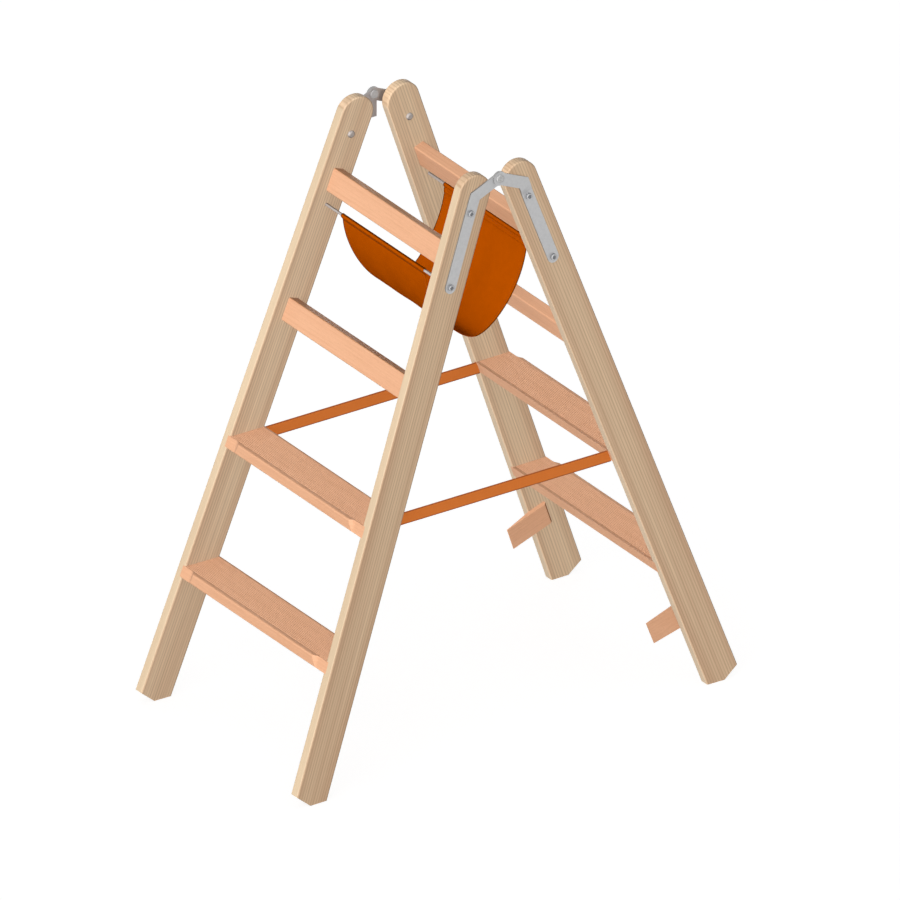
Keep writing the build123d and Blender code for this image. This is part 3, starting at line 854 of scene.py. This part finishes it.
def webbing_strap(name, middle, y_from, y_to, slants, tongues):
    # A length of webbing with rounded selvages; slants are the slopes of its two cut ends,
    # and each fades out over a third of the length
    corners = []
    stations = max(round(abs(y_to - y_from) / station_length), fewest_stations)
    for station in range(stations + 1):
        share = station / stations
        slant = slants[0] * max(1 - share * 3, 0) + slants[1] * max(share * 3 - 2, 0)
        for off_x, off_z in section:
            y = y_from + (y_to - y_from) * share + slant * off_z
            corners.append((middle.x + off_x, y, middle.z + off_z))
    size = len(section)
    faces = []
    for station in range(stations):
        for turn in range(size):
            first = station * size + turn
            beside = station * size + (turn + 1) % size
            faces.append((first, beside, beside + size, first + size))
    faces.append([turn for turn in reversed(range(size))])
    faces.append([stations * size + turn for turn in range(size)])
    for tongue_from, tongue_to in tongues:
        # A narrow tongue goes on into the step's slot
        first = len(corners)
        tongue_thick = half_thick * tongue_thin
        for y in (tongue_from, tongue_to):
            for off_x, off_z in ((-1, -1), (1, -1), (1, 1), (-1, 1)):
                corners.append((middle.x + off_x * tongue_thick, y, middle.z + off_z * tongue_half))
        sides = [(0, 1, 2, 3), (7, 6, 5, 4), (0, 4, 5, 1), (1, 5, 6, 2), (2, 6, 7, 3), (3, 7, 4, 0)]
        for side in sides:
            turned_side = side if tongue_to > tongue_from else side[::-1]
            faces.append([first + corner for corner in turned_side])
    mesh = bpy.data.meshes.new(name)
    mesh.from_pydata(corners, [], faces)
    mesh.shade_smooth()
    mesh.set_sharp_from_angle(angle=sharp_corner)
    band_map = mesh.uv_layers.new(name="band")
    for loop in mesh.loops:
        corner = corners[loop.vertex_index]
        band_map.data[loop.index].uv = (corner[1], corner[2] - middle.z)
    mesh.materials.append(webbing)
    strap = bpy.data.objects.new(name, mesh)
    bpy.context.scene.collection.objects.link(strap)
    return strap


webbing = webbing_material()
for side in ("right", "left"):
    low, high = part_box(f"strap_{side}")
    middle = (low + high) / 2
    # Each band ends on the sloping inner edges of the two steps
    slope = tan(stile_lean)
    band_half = step_low.y + (step_high.z - middle.z) * slope - step_gap
    inner_half = band_half - end_length
    front_tongue = (-band_half + tongue_overlap, low.y)
    rear_tongue = (band_half - tongue_overlap, high.y)
    lengths = (
        ("front_end", -band_half, -inner_half, (slope, 0), (front_tongue,)),
        ("band", -inner_half, inner_half, (0, 0), ()),
        ("rear_end", inner_half, band_half, (0, -slope), (rear_tongue,)),
    )
    # Each length is built and its transform baked into its mesh
    for part, y_from, y_to, slants, tongues in lengths:
        strap = webbing_strap(f"webbing_{side}_{part}", middle, y_from, y_to, slants, tongues)
        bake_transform(strap)
        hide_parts(f"strap_{side}")


# Floor: a wide sheet of pale paper under the feet, white to the camera.
# It keeps a faint shadow, and gives back only a modest light to the undersides.
floor_half = 60.0
paper_lit = grey(0.60)
paper_glow = 0.66
paper_dull = grey(0.4)
paper_mirrored = 0.55
floor_signs = ((-1, -1), (1, -1), (1, 1), (-1, 1))
floor_corners = [(x * floor_half, y * floor_half, 0) for x, y in floor_signs]
floor_mesh = bpy.data.meshes.new("floor")
floor_mesh.from_pydata(floor_corners, [], [(0, 1, 2, 3)])
floor = bpy.data.objects.new("floor", floor_mesh)
bpy.context.scene.collection.objects.link(floor)
paper = bpy.data.materials.new("pale_paper")
paper.use_nodes = True
paper_tree = paper.node_tree
paper_tree.nodes.clear()


def paper_shader(kind, inputs):
    return add_node(paper_tree, kind, {}, inputs).outputs[0]


ray = add_node(paper_tree, "ShaderNodeLightPath", {}, {}).outputs
dull = paper_shader("ShaderNodeBsdfDiffuse", {"Color": paper_dull})
lit = paper_shader("ShaderNodeBsdfDiffuse", {"Color": paper_lit})
glow = paper_shader("ShaderNodeEmission", {"Color": grey(1.0), "Strength": paper_glow})
white = paper_shader("ShaderNodeAddShader", {0: lit, 1: glow})
mirrored = paper_shader("ShaderNodeEmission", {"Color": grey(1.0), "Strength": paper_mirrored})
unseen = paper_shader("ShaderNodeMixShader", {0: ray["Is Glossy Ray"], 1: dull, 2: mirrored})
chosen = paper_shader("ShaderNodeMixShader", {0: ray["Is Camera Ray"], 1: unseen, 2: white})
add_node(paper_tree, "ShaderNodeOutputMaterial", {}, {"Surface": chosen})
floor_mesh.materials.append(paper)


# Light: an even front light from the left of the camera without hard shadows, a weaker wide
# lamp beside it that gives soft ones, a low fill for the back and a dim pale surround.
surround_level = 0.20
surround_mirrored = 0.55
for lamp_name, lamp_strength, lamp_spread, shadows, lamp_turn, lamp_height in (
    ("even_front", 2.95, 30, False, 32, 21.5),
    ("soft_front", 0.48, 60, True, 32, 21.5),
    ("low_back", 1.8, 60, False, 236, -20),
):
    lamp = bpy.data.lights.new(lamp_name, "SUN")
    lamp.energy = lamp_strength
    lamp.angle = radians(lamp_spread)
    lamp.use_shadow = shadows
    lamp.cycles.max_bounces = 0
    lamp_object = bpy.data.objects.new(lamp_name, lamp)
    level = cos(radians(lamp_height))
    lamp_from = Vector((
        sin(radians(lamp_turn)) * level,
        -cos(radians(lamp_turn)) * level,
        sin(radians(lamp_height)),
    ))
    lamp_object.rotation_euler = lamp_from.to_track_quat("Z", "Y").to_euler()
    bpy.context.scene.collection.objects.link(lamp_object)
surround = bpy.data.worlds.new("surround")
bpy.context.scene.world = surround
surround.use_nodes = True
sky_tree = surround.node_tree
sky_tree.nodes.clear()
ray = add_node(sky_tree, "ShaderNodeLightPath", {}, {}).outputs
unseen_level = between(sky_tree, ray["Is Glossy Ray"], surround_level, surround_mirrored)
sky_level = worked_out(sky_tree, "MAXIMUM", ray["Is Camera Ray"], unseen_level)
sky_light = {"Color": grey(1.0), "Strength": sky_level}
sky = add_node(sky_tree, "ShaderNodeBackground", {}, sky_light)
add_node(sky_tree, "ShaderNodeOutputWorld", {}, {"Surface": sky.outputs[0]})


# Camera: a parallel view from the right of the front, looking down on the treads.
# It aims a little below the ladder's middle and to the right of it, as the picture is framed.
view_turn = radians(56.05)
view_height = radians(26.9)
picture_pixels = 900
pixels_per_metre = 516.32
aim = Vector((0, 0, 0.6))
aim_shift = Vector((0.0266, -0.0736, 0))
camera_distance = 5
camera = bpy.data.cameras.new("camera")
camera.type = "ORTHO"
camera.ortho_scale = picture_pixels / pixels_per_metre
camera.clip_end = 100
camera_object = bpy.data.objects.new("camera", camera)
bpy.context.scene.collection.objects.link(camera_object)
level = cos(view_height)
back = Vector((sin(view_turn) * level, -cos(view_turn) * level, sin(view_height)))
turn = back.to_track_quat("Z", "Y")
camera_object.location = aim + turn @ aim_shift + back * camera_distance
camera_object.rotation_euler = turn.to_euler()
bpy.context.scene.camera = camera_object
bpy.context.scene.view_settings.view_transform = "Standard"
